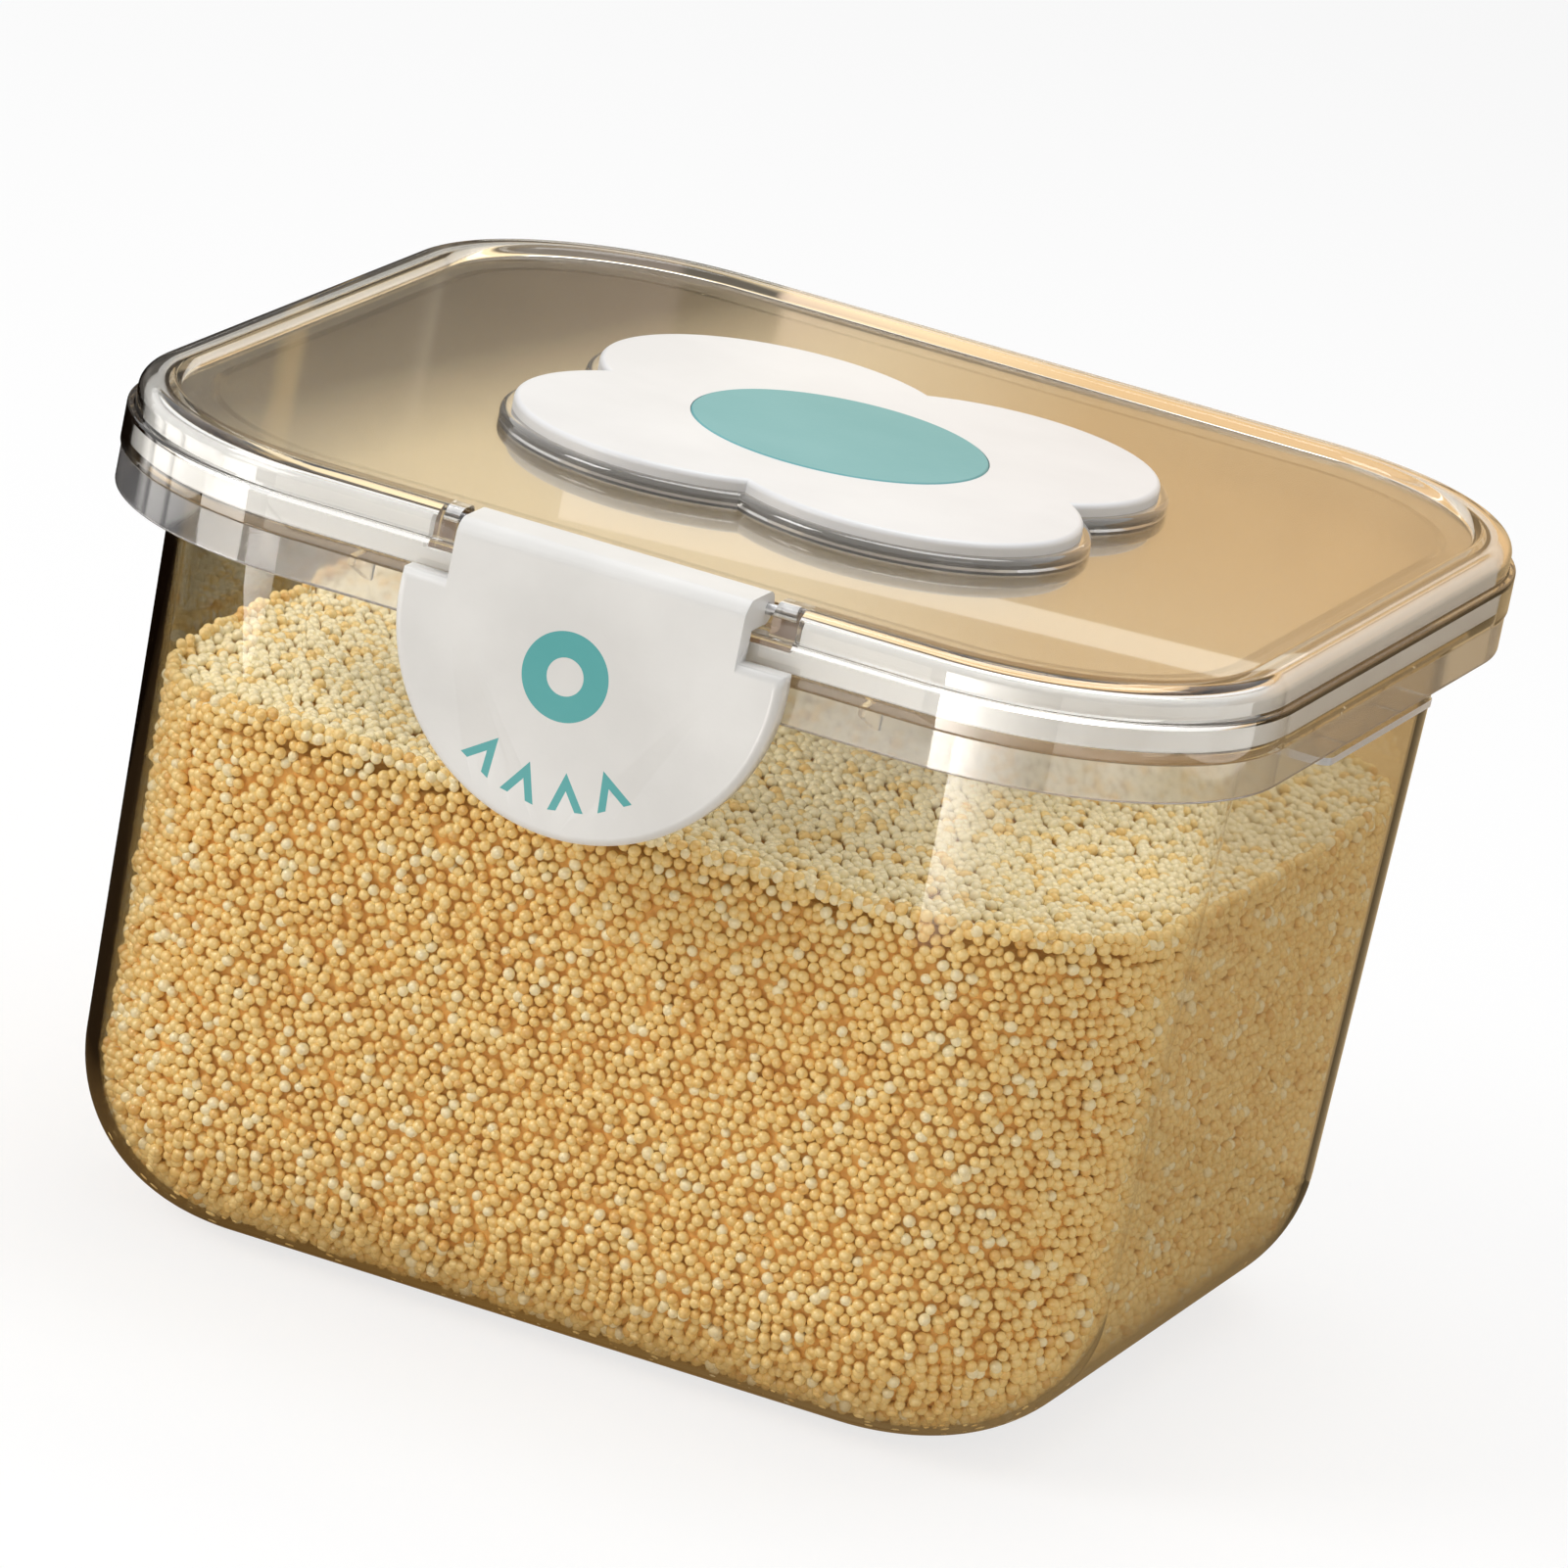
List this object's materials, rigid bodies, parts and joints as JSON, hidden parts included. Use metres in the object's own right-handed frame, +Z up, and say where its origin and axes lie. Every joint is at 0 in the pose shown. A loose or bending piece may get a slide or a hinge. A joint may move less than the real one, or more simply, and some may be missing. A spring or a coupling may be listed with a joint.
{
  "type": "rice bin with flip lid",
  "caption": "Clear square kitchen bin with rounded corners, rear-hinged flip lid, white half-moon front latch, sealing gasket and a flower badge on the lid.",
  "frame": {"origin": "centre of the flat underside, on the surface that the bin stands on", "axes": "+Z up, -Y towards the latch at the front, +Y towards the hinges at the rear, +X to the right seen from the front"},
  "size_m": [0.25, 0.2637, 0.177],
  "materials": {
    "clear_tub": "clear, polished",
    "clear_lid": "clear, polished",
    "silicone": "translucent white silicone",
    "white_plastic": "satin",
    "white_badge": "satin",
    "teal_plastic": "satin",
    "steel": "bright"
  },
  "bodies": {
    "bin": {"bin_body": "clear_tub", "hinge_pin_left": "steel", "hinge_pin_right": "steel"},
    "lid": {"lid": "clear_lid", "lid_gasket": "silicone", "latch_pin": "steel", "flower_cover": "white_badge", "flower_inlay": "teal_plastic"},
    "latch": {"latch": "white_plastic"}
  },
  "joints": [
    {"name": "lid_hinge", "type": "hinge", "parent": "bin", "child": "lid", "pos_m": [0, 0.1295, 0.152], "axis": [-1, 0, 0], "range_deg": [0, 105]},
    {"name": "latch_pivot", "type": "hinge", "parent": "lid", "child": "latch", "pos_m": [0, -0.1175, 0.1704], "axis": [-1, 0, 0], "range_deg": [0, 100]}
  ]
}
